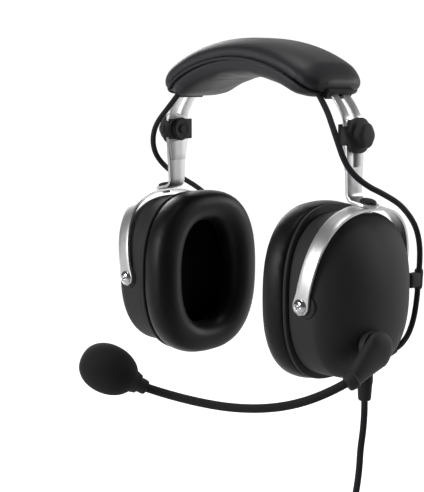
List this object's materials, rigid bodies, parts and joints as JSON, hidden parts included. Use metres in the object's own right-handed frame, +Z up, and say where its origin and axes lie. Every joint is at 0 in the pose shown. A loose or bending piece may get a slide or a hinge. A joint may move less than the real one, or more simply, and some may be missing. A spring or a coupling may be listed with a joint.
{
  "type": "aviation headset",
  "caption": "Over-ear aviation headset with padded spring headband, sprung stirrup ear cups, boom microphone and corded aircraft plugs",
  "frame": {"origin": "midway between the two ear cups, on the line through the wearer's ears", "axes": "+X is the wearer's left, where the microphone boom is; -Y is the way the face looks; +Z is up, towards the headband"},
  "size_m": [0.2049, 0.1954, 0.4807],
  "materials": {
    "brushed_steel": "brushed stainless spring steel, lengthwise grain",
    "bright_steel": "polished plated screws and rivets",
    "leatherette": "soft black leatherette over foam, fine grain",
    "cup_plastic": "satin black moulded plastic",
    "black_plastic": "matt black moulded plastic",
    "knob_plastic": "matt black moulded knob",
    "inner_plastic": "dark inner moulding",
    "speaker_plastic": "grey speaker body",
    "foam": "open-cell black foam",
    "boom_sleeve": "matt black sleeve over a flexible boom",
    "cable_jacket": "matt black cable jacket",
    "cord_rubber": "moulded black rubber",
    "circuit_board": "green circuit board",
    "plug_metal": "gold-plated plug shaft"
  },
  "bodies": {
    "headband": {"head_spring": "brushed_steel", "pad_cover": "leatherette", "pad_cushion": "leatherette", "pad_ends": "black_plastic", "guide_plates": "black_plastic", "clamp_nuts": "black_plastic", "crossover_cable": "cable_jacket"},
    "left_knob": {"left_clamp_knob": "knob_plastic", "left_clamp_screw": "bright_steel"},
    "left_yoke": {"left_yoke_plate": "brushed_steel", "left_foot_rivet": "bright_steel", "left_rivet_cap": "black_plastic", "left_cable_upper": "cable_jacket"},
    "left_stirrup": {"left_stirrup": "brushed_steel", "left_cable_middle": "cable_jacket"},
    "left_cup": {"left_cup_frame": "cup_plastic", "left_cup_shell": "cup_plastic", "left_seal_flange": "black_plastic", "left_ear_seal": "leatherette", "left_baffle": "inner_plastic", "left_speaker": "speaker_plastic", "left_foam_liner": "foam", "left_pivot_screws": "bright_steel", "left_cable_clips": "black_plastic", "left_cable_lower": "cable_jacket", "preamp_board": "circuit_board", "boom_hub": "cup_plastic", "strain_relief": "cord_rubber", "cord_tube": "cable_jacket", "cord_coil": "cable_jacket", "cord_splitter": "cord_rubber", "phone_tail": "cable_jacket", "mic_tail": "cable_jacket", "phone_plug_body": "cord_rubber", "phone_plug_tip": "plug_metal", "mic_plug_body": "cord_rubber", "mic_plug_tip": "plug_metal"},
    "right_knob": {"right_clamp_knob": "knob_plastic", "right_clamp_screw": "bright_steel"},
    "right_yoke": {"right_yoke_plate": "brushed_steel", "right_foot_rivet": "bright_steel", "right_rivet_cap": "black_plastic", "right_cable_upper": "cable_jacket"},
    "right_stirrup": {"right_stirrup": "brushed_steel", "right_cable_middle": "cable_jacket"},
    "right_cup": {"right_cup_frame": "cup_plastic", "right_cup_shell": "cup_plastic", "right_seal_flange": "black_plastic", "right_ear_seal": "leatherette", "right_baffle": "inner_plastic", "right_speaker": "speaker_plastic", "right_foam_liner": "foam", "right_pivot_screws": "bright_steel", "right_cable_clips": "black_plastic", "right_cable_lower": "cable_jacket"},
    "boom": {"boom_arm": "black_plastic", "boom_tube": "boom_sleeve", "mic_collar": "black_plastic", "mic_capsule": "inner_plastic", "windscreen": "foam"}
  },
  "joints": [
    {"name": "left_knob_spin", "type": "hinge", "parent": "headband", "child": "left_knob", "pos_m": [0.0766, 0, 0.092], "axis": [1, 0, 0], "continuous": true},
    {"name": "left_yoke_slide", "type": "slide", "parent": "headband", "child": "left_yoke", "axis": [0, 0, 1], "range_m": [-0.003, 0.016], "deforming": ["left_cable_upper"]},
    {"name": "left_stirrup_swivel", "type": "hinge", "parent": "left_yoke", "child": "left_stirrup", "pos_m": [0.0834, 0, 0.052], "axis": [0.1961, 0, 0.9806], "range_deg": [-20, 20], "deforming": ["left_cable_middle"]},
    {"name": "left_cup_tilt", "type": "hinge", "parent": "left_stirrup", "child": "left_cup", "pos_m": [0.0727, 0, -0.0016], "axis": [0, 1, 0], "range_deg": [-12, 12], "deforming": ["left_cable_lower"]},
    {"name": "right_knob_spin", "type": "hinge", "parent": "headband", "child": "right_knob", "pos_m": [-0.0766, 0, 0.092], "axis": [-1, 0, 0], "continuous": true},
    {"name": "right_yoke_slide", "type": "slide", "parent": "headband", "child": "right_yoke", "axis": [0, 0, 1], "range_m": [-0.003, 0.016], "deforming": ["right_cable_upper"]},
    {"name": "right_stirrup_swivel", "type": "hinge", "parent": "right_yoke", "child": "right_stirrup", "pos_m": [-0.0834, 0, 0.052], "axis": [-0.1961, 0, 0.9806], "range_deg": [-20, 20], "deforming": ["right_cable_middle"]},
    {"name": "right_cup_tilt", "type": "hinge", "parent": "right_stirrup", "child": "right_cup", "pos_m": [-0.0727, 0, -0.0016], "axis": [0, 1, 0], "range_deg": [-12, 12], "deforming": ["right_cable_lower"]},
    {"name": "boom_swing", "type": "hinge", "parent": "left_cup", "child": "boom", "pos_m": [0.1, -0.0137, -0.0253], "axis": [-1, 0, 0], "range_deg": [-15, 70]}
  ]
}
